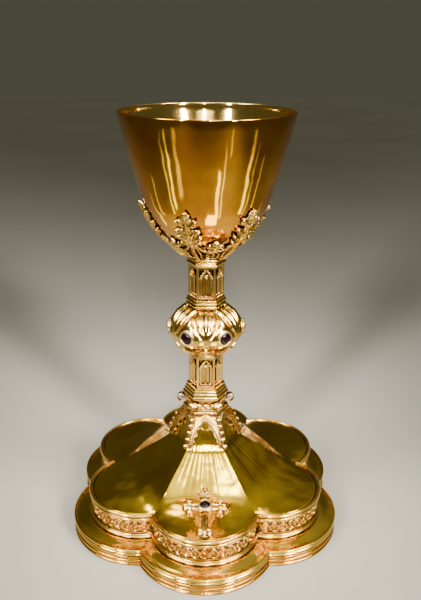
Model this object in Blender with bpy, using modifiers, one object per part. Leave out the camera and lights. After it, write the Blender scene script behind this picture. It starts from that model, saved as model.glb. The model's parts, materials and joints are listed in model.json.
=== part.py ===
"""Communion chalice: six-lobed foot, six-sided stem, jewelled knop, leaf calyx and cup.

Metres, +Z up. The origin is at the middle of the flat base, so the table is z = 0.
The front lobe, which carries the cross, faces -Y. Outlines below are in millimetres,
as (radius, height) pairs, and every placed object is scaled to metres by MM.
"""
import math

import bmesh
import bpy
from mathutils import Matrix, Vector

MM = 0.001
GAP = 0.3                        # clearance between neighbouring pieces
ROUND_STEPS = 40                 # facets round a large turned piece
SMALL_STEPS = 12                 # facets round a bezel or a stone
SIDES = 6                        # the stem's sides, and the foot's lobes
HALF_SIDE = math.pi / SIDES      # angle from the middle of a side to its corner
FRONT = -math.pi / 2             # direction of the front lobe

# Plan of the foot: each lobe is an arc about a centre this far from the axis.
LOBE_CENTRE = 41.83
LOBE_STEPS = 8
WALL_LOBE = 29.0                 # lobe radius of the gallery's wall
FLANGE_LOBE = 39.5               # lobe radius of the ledge's edge

# Heights of the stack, from the table up.
FLANGE_TOP = 10.0
GALLERY_TOP = 25.3
FOOT_TOP = 63.8
BAND_TOP = 72.9
STEM_BASE_TOP = 79.7
LOWER_STEM_TOP = 97.7
KNOP_BOTTOM = 101.3
KNOP_MIDDLE = 114.0
KNOP_TOP = 126.7
KNOP_COLLAR_TOP = 132.7
UPPER_STEM_TOP = 150.7
CUP_COLLAR_TOP = 156.2
RIM_TOP = 231.0

STEM_CORNER = 9.7                # circumradius of the six-sided stem
STEM_BORE = 6.5                  # circumradius of its hollow
PASSAGE = 4.2                    # radius of the holes that the rod passes
SHEET = 1.2                      # wall of the foot and the knop
APRON_SHEET = 0.7                # wall of the apron over the foot's neck
APRON_RIDGE = [(21.6, 46.4), (16.4, 57.2), (13.9, FOOT_TOP)]   # radius and height of its corners
CUP_WALL = 0.9                   # wall of the bowl

KNOP_RADIUS = 19.75
KNOP_HALF_HEIGHT = 14.6
KNOP_END_RADIUS = 9.74           # where the knop meets its end plates
BEZEL_HEIGHT = 114.5             # height of the bezels' axes
BEZEL_REACH = 17.6               # distance of the bezels' feet from the axis
BEZEL_RADIUS = 4.5
BEZEL_DEPTH = 3.6
BEZEL_CLEARANCE = 0.35           # between a bezel and its hole in the shell
STONE_RADIUS = 3.3

# The cross, measured from its middle along its four arms.
CROSS_CENTRE = 53.2              # distance of its middle along the lobe's line
CROSS_UP = 12.4
CROSS_DOWN = 22.2
CROSS_SIDE = 12.4
CROSS_THICK = 1.2
CROSS_BEZEL = (3.4, 2.0, 2.7)    # bezel radius, its depth and the stone's radius

ROD_RADIUS = 3.0
ROD_END = 49.0
WASHER_TOP = FOOT_TOP - SHEET - GAP
WASHER_THICK = 1.4
NUT_HEIGHT = 5.0

# The foot's skin, as (ridge radius, mid-lobe radius, height), from its edge up.
FOOT_LEVELS = [
    (54.4, 69.5, 24.3),
    (52.4, 60.5, 24.9),
    (50.0, 50.0, 26.1),
    (45.5, 41.2, 28.6),
    (39.0, 34.0, 33.1),
    (32.0, 27.8, 37.6),
    (25.6, 22.2, 41.7),
    (20.3, 17.6, 46.4),
    (15.1, 13.1, 57.2),
    (12.6, 10.9, FOOT_TOP),
]

# Middle line of the front lobe, as (radius, height), for what is laid on it.
LOBE_LINE = [(level[1], level[2]) for level in reversed(FOOT_LEVELS)]

# The bowl's outer side. Its lip is upright, so that the rim is a flat ring.
CUP_PROFILE = [
    (45.1, RIM_TOP), (45.1, 230.3), (44.4, 226.5), (38.7, 204.5), (33.5, 187.0),
    (31.2, 181.2), (28.5, 176.3), (24.8, 171.2), (20.4, 166.8), (15.5, 163.3), (11.0, 161.2),
    (6.0, 160.3), (0.0, 160.2),
]

# The calyx's outer side, from the hole at its foot to the tip of a tall leaf.
CALYX_PROFILE = [
    (PASSAGE, 156.5), (10.6, 156.8), (13.6, 158.2), (16.9, 160.8), (21.9, 164.9), (26.9, 170.6),
    (30.9, 176.6), (33.5, 181.8), (35.0, 185.5),
]
CALYX_STEPS = 60
CALYX_WALL = 1.2
LEAF_TURN = math.radians(-18)    # the first tall leaf, from the front
LEAF_HALF_WIDTH = math.radians(21)
LEAF_FOOT = 0.58                 # how far up the profile the calyx is unbroken


def clear_scene():
    """Remove whatever the scene holds."""
    for thing in list(bpy.data.objects):
        bpy.data.objects.remove(thing, do_unlink=True)


def new_collection(name):
    """Make a collection in the scene."""
    collection = bpy.data.collections.new(name)
    bpy.context.scene.collection.children.link(collection)
    return collection


def metal(name, colour, roughness):
    """Make one metal material."""
    material = bpy.data.materials.new(name)
    material.use_nodes = True
    shader = material.node_tree.nodes["Principled BSDF"]
    shader.inputs["Base Color"].default_value = (*colour, 1.0)
    shader.inputs["Metallic"].default_value = 1.0
    shader.inputs["Roughness"].default_value = roughness
    return material


def gem(name, colour):
    """Make the stones' material."""
    material = metal(name, colour, 0.08)
    material.node_tree.nodes["Principled BSDF"].inputs["Metallic"].default_value = 0.0
    return material


def add_object(name, mesh, collection, material=None):
    """Link an object that shows a mesh, with its edges shaded sharp past 35 degrees."""
    thing = bpy.data.objects.new(name, mesh)
    collection.objects.link(thing)
    if material:
        mesh.materials.append(material)
    mesh.shade_smooth()
    mesh.set_sharp_from_angle(angle=math.radians(35))
    return thing


def finish_mesh(name, bm):
    """Turn a bmesh in millimetres into a mesh in metres."""
    bmesh.ops.scale(bm, vec=(MM, MM, MM), verts=bm.verts)
    mesh = bpy.data.meshes.new(name)
    bm.to_mesh(mesh)
    bm.free()
    return mesh


def profile_mesh(name, profile, closed):
    """Make the edges of an outline that a Screw modifier turns."""
    points = [(radius * MM, 0.0, height * MM) for radius, height in profile]
    edges = [(i, i + 1) for i in range(len(points) - 1)]
    if closed:
        edges.append((len(points) - 1, 0))
    mesh = bpy.data.meshes.new(name)
    mesh.from_pydata(points, edges, [])
    return mesh


def add_screw(thing, steps):
    """Turn an outline right round Z."""
    turn = thing.modifiers.new("Turn", "SCREW")
    turn.steps = steps
    turn.render_steps = steps
    turn.use_merge_vertices = True
    turn.merge_threshold = 0.00001
    turn.use_smooth_shade = False


def add_wall(thing, thickness):
    """Give an open surface its wall, inwards."""
    wall = thing.modifiers.new("Wall", "SOLIDIFY")
    wall.thickness = thickness * MM
    wall.offset = -1.0
    wall.use_even_offset = True


def turned(name, profile, collection, material, steps=ROUND_STEPS, closed=True):
    """Turn an outline whose outer side runs from top to bottom."""
    thing = add_object(name, profile_mesh(name, profile, closed), collection, material)
    add_screw(thing, steps)
    return thing


def six_sided_ring(name, outer_side, bore, collection, material):
    """Turn a moulding in six steps, so that its corners lie on the stem's corners."""
    top = outer_side[0][1]
    bottom = outer_side[-1][1]
    profile = outer_side + [(bore, bottom), (bore, top)]
    return turned(name, profile, collection, material, steps=SIDES)


def lobed_section(ridge, middle, height, steps=LOBE_STEPS):
    """One level of a six-lobed form: six arcs through the ridges and the lobes' middles.

    A middle at cos 30 of the ridge gives a flat-sided hexagon, and equal radii a circle.
    """
    ridge_x = ridge * math.cos(HALF_SIDE)
    ridge_y = ridge * math.sin(HALF_SIDE)
    bulge = middle - ridge_x
    if abs(bulge) < 0.05:
        lobe = [(ridge_x, ridge_y * (2 * i / steps - 1)) for i in range(steps)]
    else:
        arc_centre = (middle**2 - ridge**2) / (2 * bulge)
        radius = middle - arc_centre
        sweep = math.atan2(ridge_y, ridge_x - arc_centre)
        angles = [sweep * (2 * i / steps - 1) for i in range(steps)]
        lobe = [(arc_centre + radius * math.cos(a), radius * math.sin(a)) for a in angles]
    section = []
    for side in range(SIDES):
        spin = Matrix.Rotation(FRONT + side * 2 * HALF_SIDE, 3, "Z")
        section += [spin @ Vector((x, y, height)) for x, y in lobe]
    return section


def notch_radius(lobe):
    """How far from the axis two neighbouring lobes of a given radius meet."""
    sweep = HALF_SIDE + math.asin(LOBE_CENTRE * math.sin(HALF_SIDE) / lobe)
    return lobe * math.sin(sweep) / math.sin(HALF_SIDE)


def loft(name, sections, closed):
    """Join sections that run up the outer side, and down the inner side if closed."""
    bm = bmesh.new()
    rings = [[bm.verts.new(point) for point in section] for section in sections]
    if closed:
        rings.append(rings[0])
    for lower, upper in zip(rings, rings[1:]):
        for i in range(len(lower)):
            j = (i + 1) % len(lower)
            bm.faces.new((lower[i], lower[j], upper[j], upper[i]))
    return finish_mesh(name, bm)


def lobed_ring(name, profile, collection, material):
    """Sweep a (lobe radius, height) outline round the six lobes."""
    sections = [
        lobed_section(notch_radius(lobe), LOBE_CENTRE + lobe, height) for lobe, height in profile
    ]
    return add_object(name, loft(name, sections, closed=True), collection, material)


def add_prism(bm, outline, start, end, turn):
    """Extrude an outline, given as (across, height), from one distance from the axis to another."""
    corners = [bm.verts.new((start, across, height)) for across, height in outline]
    face = bm.faces.new(corners)
    grown = bmesh.ops.extrude_face_region(bm, geom=[face])["geom"]
    moved = [item for item in grown if isinstance(item, bmesh.types.BMVert)]
    bmesh.ops.translate(bm, verts=moved, vec=(end - start, 0, 0))
    bmesh.ops.rotate(bm, verts=corners + moved, matrix=Matrix.Rotation(turn, 3, "Z"))


def pointed_arch(half_width, bottom, spring, steps=3):
    """Outline of a pointed arch: each side is an arc about the far springing."""
    span = 2 * half_width
    angles = [math.radians(60) * i / steps for i in range(steps)]
    right = [(-half_width + span * math.cos(a), spring + span * math.sin(a)) for a in angles]
    apex = [(0.0, spring + span * math.sin(math.radians(60)))]
    left = [(-across, height) for across, height in reversed(right)]
    return [(half_width, bottom)] + right + apex + left + [(-half_width, bottom)]


def six_prisms(name, outline, start, end, cutters):
    """Make one cutter of six prisms, one on each side of the stem."""
    bm = bmesh.new()
    for side in range(SIDES):
        add_prism(bm, outline, start, end, FRONT + side * 2 * HALF_SIDE)
    bmesh.ops.recalc_face_normals(bm, faces=bm.faces)
    cutter = add_object(name, finish_mesh(name, bm), cutters)
    cutter.hide_render = True
    cutter.display_type = "WIRE"
    return cutter


def cut(thing, cutter):
    """Cut a cutter out of an object."""
    boolean = thing.modifiers.new(cutter.name, "BOOLEAN")
    boolean.operation = "DIFFERENCE"
    boolean.object = cutter


def outward(turn, distance, height, lean=0.0):
    """Place a piece's local Z along a direction that points away from the axis."""
    spin = Matrix.Rotation(turn, 4, "Z")
    place = Matrix.Translation(Vector((distance, 0, height)) * MM)
    tip = Matrix.Rotation(math.pi / 2 - lean, 4, "Y")
    return spin @ place @ tip


# Sub-parts, from the table up.


def base_band(parts, gold):
    """The band under the ledge, with the small foot that stands on the table."""
    profile = [
        (37.2, 0.0), (39.5, 0.0), (39.5, 1.0), (38.6, 1.8), (38.6, 5.9), (37.2, 5.9),
    ]
    lobed_ring("base_band", profile, parts, gold)


def foot_flange(parts, gold):
    """The ledge outside the gallery wall, with a beaded and grooved edge."""
    inner = WALL_LOBE - 3.0
    profile = [
        (inner, 8.6), (37.6, 8.0), (37.6, 6.2), (39.3, 6.2), (FLANGE_LOBE, 7.0),
        (38.9, 8.1), (FLANGE_LOBE, 9.0), (38.9, 9.7), (36.0, 9.3), (31.5, FLANGE_TOP),
        (inner, FLANGE_TOP),
    ]
    lobed_ring("foot_flange", profile, parts, gold)


def gallery(parts, gold):
    """The foot's upright wall: two mouldings with the lattice band between them."""
    base_bottom = FLANGE_TOP + GAP
    base = [
        (27.4, base_bottom), (30.2, base_bottom), (30.2, 11.4), (29.2, 12.5), (27.4, 12.5),
    ]
    lobed_ring("gallery_base_moulding", base, parts, gold)
    wall = [
        (WALL_LOBE - 1.1, 12.5 + GAP), (WALL_LOBE, 12.5 + GAP),
        (WALL_LOBE, 21.4 - GAP), (WALL_LOBE - 1.1, 21.4 - GAP),
    ]
    lobed_ring("gallery_wall", wall, parts, gold)
    top = [
        (25.6, 21.4), (29.3, 21.4), (29.9, 22.4), (29.3, 23.3), (29.9, 24.4),
        (29.2, GALLERY_TOP), (28.2, GALLERY_TOP), (28.0, 22.6), (25.6, 22.6),
    ]
    lobed_ring("gallery_top_moulding", top, parts, gold)


def foot_shell(parts, gold):
    """The raised foot: a hexagon at the stem that opens into six lobes, with a pierced top."""
    sections = [lobed_section(ridge, middle, height) for ridge, middle, height in FOOT_LEVELS]
    sections.append(lobed_section(PASSAGE, PASSAGE, FOOT_TOP))
    thing = add_object("foot_shell", loft("foot_shell", sections, closed=False), parts, gold)
    add_wall(thing, SHEET)


def lobe_frame(distance, across, rise):
    """Point on the front lobe, a distance along its middle line from the stem's side."""
    walked = 0.0
    for (r0, z0), (r1, z1) in zip(LOBE_LINE, LOBE_LINE[1:]):
        step = math.hypot(r1 - r0, z1 - z0)
        if walked + step >= distance or (r1, z1) == LOBE_LINE[-1]:
            break
        walked += step
    along = Vector(((r1 - r0) / step, (z1 - z0) / step))
    foot = Vector((r0, z0)) + along * (distance - walked)
    normal = Vector((-along.y, along.x))
    point = foot + normal * rise
    return Vector((across, -point.x, point.y)), math.atan2(normal.y, normal.x)


def cross_arm(length):
    """Half of an arm's outline, as (along, across), from the neck to the tip of its trefoil."""
    return [
        (2.2, 2.2), (length - 6.6, 2.0), (length - 6.9, 3.6), (length - 5.2, 4.6),
        (length - 3.4, 3.8), (length - 3.1, 2.4), (length - 1.5, 2.3), (length - 0.3, 1.2),
        (length, 0.0),
    ]


def foot_cross(parts, gold):
    """A Latin cross with trefoil ends, bent to lie on the front lobe."""
    bm = bmesh.new()
    outline = []
    for quarter, length in enumerate([CROSS_DOWN, CROSS_SIDE, CROSS_UP, CROSS_SIDE]):
        half = cross_arm(length)
        arm = [(u, -v) for u, v in half[1:]] + half[-2::-1]
        spin = Matrix.Rotation(quarter * math.pi / 2, 2)
        outline += [spin @ Vector(point) for point in arm]
    face = bm.faces.new([bm.verts.new((x, y, 0)) for x, y in outline])
    grown = bmesh.ops.extrude_face_region(bm, geom=[face])["geom"]
    moved = [item for item in grown if isinstance(item, bmesh.types.BMVert)]
    bmesh.ops.translate(bm, verts=moved, vec=(0, 0, CROSS_THICK))
    for along in (-6.0, -1.5, 3.0, 7.5, 12.0, 16.5):
        everything = bm.verts[:] + bm.edges[:] + bm.faces[:]
        bmesh.ops.bisect_plane(bm, geom=everything, plane_co=(along, 0, 0), plane_no=(1, 0, 0))
    for vert in bm.verts:
        vert.co = lobe_frame(CROSS_CENTRE + vert.co.x, vert.co.y, GAP + vert.co.z)[0]
    bmesh.ops.recalc_face_normals(bm, faces=bm.faces)
    add_object("foot_cross", finish_mesh("foot_cross", bm), parts, gold)


def setting(name, place, size, parts, gold, stone):
    """A round bezel with its cabochon: size is the bezel's radius, depth and the stone's radius."""
    radius, depth, stone_radius = size
    seat = depth - 1.6
    bezel_profile = [
        (0.0, seat), (stone_radius + GAP, seat), (stone_radius + GAP, depth),
        (radius, depth - 0.6), (radius, 0.0), (0.0, 0.0),
    ]
    bezel = turned(f"{name}_bezel", bezel_profile, parts, gold, SMALL_STEPS, closed=False)
    bezel.matrix_world = place
    dome = [
        (0.0, depth + 1.1), (stone_radius * 0.6, depth + 0.75), (stone_radius, seat + 1.0),
        (stone_radius, seat + GAP), (0.0, seat + GAP),
    ]
    cabochon = turned(f"{name}_stone", dome, parts, stone, SMALL_STEPS, closed=False)
    cabochon.matrix_world = place


def cross_setting(parts, gold, stone):
    """The stone at the cross's middle."""
    point, pitch = lobe_frame(CROSS_CENTRE, 0.0, 2 * GAP + CROSS_THICK)
    place = outward(FRONT, -point.y, point.z, lean=pitch)
    setting("cross", place, CROSS_BEZEL, parts, gold, stone)


def tracery_apron(parts, cutters, gold):
    """Six arched panels over the top of the foot, with legs that follow its ridges."""
    flat = math.cos(HALF_SIDE)
    sections = [
        lobed_section(ridge, ridge * flat, height, steps=1) for ridge, height in APRON_RIDGE
    ]
    mesh = loft("tracery_apron", sections, closed=False)
    apron = add_object("tracery_apron", mesh, parts, gold)
    add_wall(apron, APRON_SHEET)
    arch = pointed_arch(7.4, 40.0, 47.6)
    cut(apron, six_prisms("apron_arches", arch, 10.0, 19.6, cutters))


def crocket_band(parts, gold):
    """The ornamented band that the crockets stand on."""
    outer = [
        (11.9, BAND_TOP), (11.9, 72.0), (11.5, 71.4), (11.5, 67.4), (12.6, 66.8),
        (13.4, 65.9), (13.4, FOOT_TOP + GAP),
    ]
    six_sided_ring("crocket_band", outer, PASSAGE + 1.0, parts, gold)


def crocket_curl(parts, gold):
    """Six curled leaves on the corners of the band: a stalk that rolls into a scroll."""
    stalk = [(12.9, 67.6), (14.2, 67.3), (15.2, 68.0)]
    turns = [math.radians(a) for a in (10, 60, 110, 160, 215)]
    roll = [(13.9 + 1.5 * math.cos(a), 69.9 + 1.5 * math.sin(a)) for a in turns]
    for corner in range(SIDES):
        name = f"crocket_{corner + 1}"
        curve = bpy.data.curves.new(name, "CURVE")
        curve.dimensions = "3D"
        curve.bevel_depth = 0.7 * MM
        curve.bevel_resolution = 1
        curve.use_fill_caps = True
        spline = curve.splines.new("POLY")
        spline.points.add(len(stalk + roll) - 1)
        for point, (radius, height) in zip(spline.points, stalk + roll):
            point.co = (radius * MM, 0.0, height * MM, 1.0)
        thing = bpy.data.objects.new(name, curve)
        curve.materials.append(gold)
        parts.objects.link(thing)
        thing.rotation_euler.z = FRONT + (2 * corner + 1) * HALF_SIDE


def stem_base_collar(parts, gold):
    """The stepped moulding under the lower stem."""
    outer = [
        (11.2, STEM_BASE_TOP), (11.2, 78.9), (11.8, 78.3), (11.8, 77.3), (12.5, 76.7),
        (12.5, 75.5), (13.3, 74.9), (13.3, BAND_TOP + GAP),
    ]
    six_sided_ring("stem_base_collar", outer, PASSAGE + 1.0, parts, gold)


def stem(name, bottom, top, parts, cutters, gold):
    """A six-sided tube with a sunk, pointed window panel on each side."""
    outer = [(STEM_CORNER, top), (STEM_CORNER, bottom)]
    tube = six_sided_ring(name, outer, STEM_BORE, parts, gold)
    panel = pointed_arch(3.2, bottom + 1.6, top - 7.4, steps=2)
    side = STEM_CORNER * math.cos(HALF_SIDE)
    cut(tube, six_prisms(f"{name}_panels", panel, side - 0.9, side + 2.0, cutters))


def knop_profile(direction, steps=6):
    """Half of the knop's outer side, from its middle to its pierced end plate."""
    end = math.acos(KNOP_END_RADIUS / KNOP_RADIUS)
    points = []
    for i in range(steps + 1):
        angle = end * i / steps
        rise = max(KNOP_HALF_HEIGHT * math.sin(angle), GAP / 2)
        points.append((KNOP_RADIUS * math.cos(angle), KNOP_MIDDLE + direction * rise))
    return points + [(PASSAGE, points[-1][1])]


def knop_shells(parts, cutters, gold):
    """The knop's two pressed halves, with holes where the bezels sit."""
    bm = bmesh.new()
    for corner in range(SIDES):
        turn = FRONT + (2 * corner + 1) * HALF_SIDE
        place = outward(turn, 18.5, BEZEL_HEIGHT)
        place.translation /= MM
        bmesh.ops.create_cone(
            bm, cap_ends=True, segments=SMALL_STEPS, radius1=BEZEL_RADIUS + BEZEL_CLEARANCE,
            radius2=BEZEL_RADIUS + BEZEL_CLEARANCE, depth=9.0, matrix=place,
        )
    holes = add_object("bezel_holes", finish_mesh("bezel_holes", bm), cutters)
    holes.hide_render = True
    holes.display_type = "WIRE"
    upper = list(reversed(knop_profile(1)))
    lower = knop_profile(-1)
    for name, profile in (("knop_upper_shell", upper), ("knop_lower_shell", lower)):
        shell = turned(name, profile, parts, gold, 24, closed=False)
        add_wall(shell, SHEET)
        cut(shell, holes)


def knop_settings(parts, gold, stone):
    """Six stones on the knop's lobes."""
    for corner in range(SIDES):
        turn = FRONT + (2 * corner + 1) * HALF_SIDE
        place = outward(turn, BEZEL_REACH, BEZEL_HEIGHT)
        size = (BEZEL_RADIUS, BEZEL_DEPTH, STONE_RADIUS)
        setting(f"knop_{corner + 1}", place, size, parts, gold, stone)


def knop_collars(parts, gold):
    """The six-sided mouldings above and below the knop."""
    upper = [
        (10.4, KNOP_COLLAR_TOP), (10.4, 132.0), (11.2, 131.4), (11.2, 130.4), (10.6, 129.9),
        (11.3, 129.3), (11.3, 128.0), (10.6, 127.5), (10.2, KNOP_TOP + GAP),
    ]
    six_sided_ring("knop_upper_collar", upper, PASSAGE + 1.0, parts, gold)
    lower = [
        (9.6, KNOP_BOTTOM - GAP), (9.6, 100.6), (9.9, 100.3), (9.9, 99.7), (9.7, 99.4),
        (9.7, 99.1), (10.1, 98.8), (10.1, LOWER_STEM_TOP + GAP),
    ]
    six_sided_ring("knop_lower_collar", lower, PASSAGE + 1.0, parts, gold)


def cup_collar(parts, gold):
    """The moulding between the upper stem and the calyx."""
    outer = [
        (10.4, CUP_COLLAR_TOP), (11.0, 155.6), (11.0, 154.6), (10.4, 154.2), (10.4, 153.4),
        (10.9, 152.9), (10.9, 151.9), (10.2, UPPER_STEM_TOP + GAP),
    ]
    six_sided_ring("cup_collar", outer, PASSAGE + 1.0, parts, gold)


def along_profile(profile, share):
    """Point a share of the way along an outline."""
    lengths = [math.dist(a, b) for a, b in zip(profile, profile[1:])]
    left = share * sum(lengths)
    for (a, b), length in zip(zip(profile, profile[1:]), lengths):
        if left <= length:
            break
        left -= length
    share = min(left / length, 1.0)
    return a[0] + (b[0] - a[0]) * share, a[1] + (b[1] - a[1]) * share


def leaf_reach(angle):
    """How far up the profile the calyx reaches at an angle: six broad, pointed leaves."""
    period = 2 * HALF_SIDE
    off = (angle - LEAF_TURN + period / 2) % period - period / 2
    share = max(0.0, 1.0 - abs(off) / LEAF_HALF_WIDTH)
    return LEAF_FOOT + (1.0 - LEAF_FOOT) * math.sqrt(share)


def calyx(parts, gold):
    """The leaf cup that holds the bowl, closed below and cut into six leaves above."""
    shares = [0.0, 0.14, 0.3, 0.5, 0.7, 0.86, 1.0]
    sections = []
    for share in shares:
        section = []
        for i in range(CALYX_STEPS):
            angle = 2 * math.pi * i / CALYX_STEPS
            radius, height = along_profile(CALYX_PROFILE, share * leaf_reach(angle))
            spin = Matrix.Rotation(FRONT + angle, 3, "Z")
            section.append(spin @ Vector((radius, 0, height)))
        sections.append(section)
    sections[0] = [Vector((p.x, p.y, CALYX_PROFILE[0][1])) for p in sections[0]]
    thing = add_object("calyx", loft("calyx", sections, closed=False), parts, gold)
    add_wall(thing, CALYX_WALL)


def cup(parts, gold):
    """The spun bowl."""
    thing = turned("cup", CUP_PROFILE, parts, gold, closed=False)
    add_wall(thing, CUP_WALL)


def tie_rod(parts, gold):
    """The threaded rod that runs from a flange under the bowl to below the foot's top."""
    profile = [
        (0.0, 159.7), (6.5, 159.7), (6.5, 158.2), (ROD_RADIUS, 158.2),
        (ROD_RADIUS, ROD_END + 0.8), (ROD_RADIUS - 0.8, ROD_END), (0.0, ROD_END),
    ]
    turned("tie_rod", profile, parts, gold, 16, closed=False)


def rod_fasteners(parts, gold):
    """The washer and the nut under the foot's top. Both move along and about the rod's axis."""
    bottom = WASHER_TOP - WASHER_THICK
    washer = [
        (7.4, WASHER_TOP), (7.4, bottom), (ROD_RADIUS + 0.4, bottom), (ROD_RADIUS + 0.4, WASHER_TOP),
    ]
    turned("rod_washer", washer, parts, gold, 24)
    top = bottom - GAP
    nut = turned(
        "rod_nut",
        [(5.8, top), (5.8, top - NUT_HEIGHT), (4.0, top - NUT_HEIGHT), (4.0, top)],
        parts, gold, SIDES,
    )
    edges = nut.modifiers.new("Edges", "BEVEL")
    edges.width = 0.3 * MM
    edges.segments = 1


def main():
    clear_scene()
    parts = new_collection("communion_chalice")
    cutters = new_collection("cutters")
    polished = metal("polished_gold", (0.83, 0.58, 0.20), 0.08)
    cast = metal("cast_gold", (0.86, 0.62, 0.38), 0.28)
    wire = metal("moulding_gold", (0.86, 0.62, 0.33), 0.18)
    brass = metal("bare_brass", (0.70, 0.52, 0.25), 0.4)
    stone = gem("garnet", (0.02, 0.004, 0.012))
    base_band(parts, wire)
    foot_flange(parts, wire)
    gallery(parts, wire)
    foot_shell(parts, polished)
    foot_cross(parts, cast)
    cross_setting(parts, wire, stone)
    tracery_apron(parts, cutters, cast)
    crocket_band(parts, cast)
    crocket_curl(parts, cast)
    stem_base_collar(parts, wire)
    stem("lower_stem", STEM_BASE_TOP + GAP, LOWER_STEM_TOP, parts, cutters, cast)
    knop_collars(parts, wire)
    knop_shells(parts, cutters, polished)
    knop_settings(parts, wire, stone)
    stem("upper_stem", KNOP_COLLAR_TOP + GAP, UPPER_STEM_TOP, parts, cutters, cast)
    cup_collar(parts, wire)
    calyx(parts, cast)
    cup(parts, polished)
    tie_rod(parts, brass)
    rod_fasteners(parts, brass)


main()
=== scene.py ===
"""Looks for the communion chalice: polished bowl and foot, cast tracery, lattice and leaves."""
import json
import math

import bpy
import numpy as np
from mathutils import Matrix, Vector


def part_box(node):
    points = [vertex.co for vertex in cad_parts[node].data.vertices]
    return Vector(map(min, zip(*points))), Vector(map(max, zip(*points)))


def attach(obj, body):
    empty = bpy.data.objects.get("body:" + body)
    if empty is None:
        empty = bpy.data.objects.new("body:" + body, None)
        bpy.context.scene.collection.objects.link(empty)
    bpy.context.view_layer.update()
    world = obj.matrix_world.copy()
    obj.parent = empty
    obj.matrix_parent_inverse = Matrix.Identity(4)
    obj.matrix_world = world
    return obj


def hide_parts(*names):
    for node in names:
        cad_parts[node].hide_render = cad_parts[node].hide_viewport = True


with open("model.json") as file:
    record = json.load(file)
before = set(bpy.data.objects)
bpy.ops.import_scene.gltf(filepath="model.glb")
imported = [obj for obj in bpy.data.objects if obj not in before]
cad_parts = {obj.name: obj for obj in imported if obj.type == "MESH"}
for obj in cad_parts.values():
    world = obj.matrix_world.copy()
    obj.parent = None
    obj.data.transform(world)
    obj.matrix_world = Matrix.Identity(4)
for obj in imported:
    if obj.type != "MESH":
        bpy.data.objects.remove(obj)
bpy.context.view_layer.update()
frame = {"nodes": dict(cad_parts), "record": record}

# Lengths are in millimetres, and MM takes them to metres. Materials and lights are in metres.
MM = 0.001
BODY = "chalice"
SIDES = 6
HALF_SIDE = math.pi / SIDES
FRONT = -math.pi / 2
LOBE_CENTRE = 41.83
SIDE_TURNS = [FRONT + side * 2 * HALF_SIDE for side in range(SIDES)]
CORNER_TURNS = [turn + HALF_SIDE for turn in SIDE_TURNS]

# The camera: a phone held a little above the cup.
CAMERA_BACK = 351.4
CAMERA_HEIGHT = 264.0
CAMERA_PITCH = math.radians(20.91)
CAMERA_YAW = math.radians(-0.394)
CAMERA_ROLL = math.radians(0.46)
CAMERA_LENS = 40.98
SENSOR = 36.0


def z_span(node):
    """Lowest and highest height of a CAD node."""
    low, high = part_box(node)
    return low.z / MM, high.z / MM


# Materials

# Scales of noise, in turns a metre, and depths of bumps, in metres
CLOUDS = 38.0
SMEARS = 160.0
WAVES = 62.0
SCRATCHES = 1800.0
SCRATCH_DEPTH = 0.00001
PATCHES = 120.0
GRAIN = 900.0
GRAIN_DEPTH = 0.00006
# Flutes fade out between these distances from the axis, in metres.
FLUTES_FULL = 0.024
FLUTES_GONE = 0.046


def node_tools(tree):
    """Functions that add nodes to a tree and link their sockets."""
    def add(kind, inputs=None, **settings):
        node = tree.nodes.new(kind)
        for key, value in settings.items():
            setattr(node, key, value)
        for key, value in (inputs or {}).items():
            if isinstance(value, bpy.types.NodeSocket):
                tree.links.new(value, node.inputs[key])
            else:
                node.inputs[key].default_value = value
        return node

    def link(source, target):
        tree.links.new(source, target)

    return add, link


def new_material(name, metallic=0.0):
    """Make a material; return it with its shader's inputs and the functions that add and link."""
    material = bpy.data.materials.new(name)
    material.use_nodes = True
    inputs = material.node_tree.nodes["Principled BSDF"].inputs
    inputs["Metallic"].default_value = metallic
    return material, inputs, *node_tools(material.node_tree)


def noise(add, scale, detail=3.0, roughness=0.5, place=None):
    """A noise, in object space unless another place is given."""
    if place is None:
        place = add("ShaderNodeTexCoord").outputs["Object"]
    inputs = {"Vector": place, "Scale": scale, "Detail": detail, "Roughness": roughness}
    return add("ShaderNodeTexNoise", inputs).outputs["Fac"]


def ramp(add, value, low, high, dark, light):
    """Take a value between two stops to a colour between two colours."""
    node = add("ShaderNodeValToRGB", {"Fac": value})
    node.color_ramp.elements[0].position = low
    node.color_ramp.elements[0].color = (*dark, 1.0)
    node.color_ramp.elements[1].position = high
    node.color_ramp.elements[1].color = (*light, 1.0)
    return node.outputs["Color"]


def span(add, value, low, high, start=0.0, end=1.0):
    """Take a value from start..end to low..high."""
    inputs = {"Value": value, "From Min": start, "From Max": end, "To Min": low, "To Max": high}
    return add("ShaderNodeMapRange", inputs).outputs["Result"]


def vector_step(add, operation, first, second=(0.0, 0.0, 0.0), output="Vector"):
    """One step of arithmetic with vectors."""
    return add("ShaderNodeVectorMath", {0: first, 1: second}, operation=operation).outputs[output]


def mixed(add, share, first, second, blend="MIX"):
    """Mix two colours by a share, or multiply them."""
    inputs = {"Factor": share, 6: first, 7: second}
    return add("ShaderNodeMix", inputs, data_type="RGBA", blend_type=blend).outputs[2]


def bump(add, height, depth, strength=1.0, normal=None):
    """A bump of a depth in metres, laid over another bump's normal if one is given."""
    inputs = {"Height": height, "Distance": depth, "Strength": strength}
    if normal is not None:
        inputs["Normal"] = normal
    return add("ShaderNodeBump", inputs).outputs["Normal"]


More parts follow.
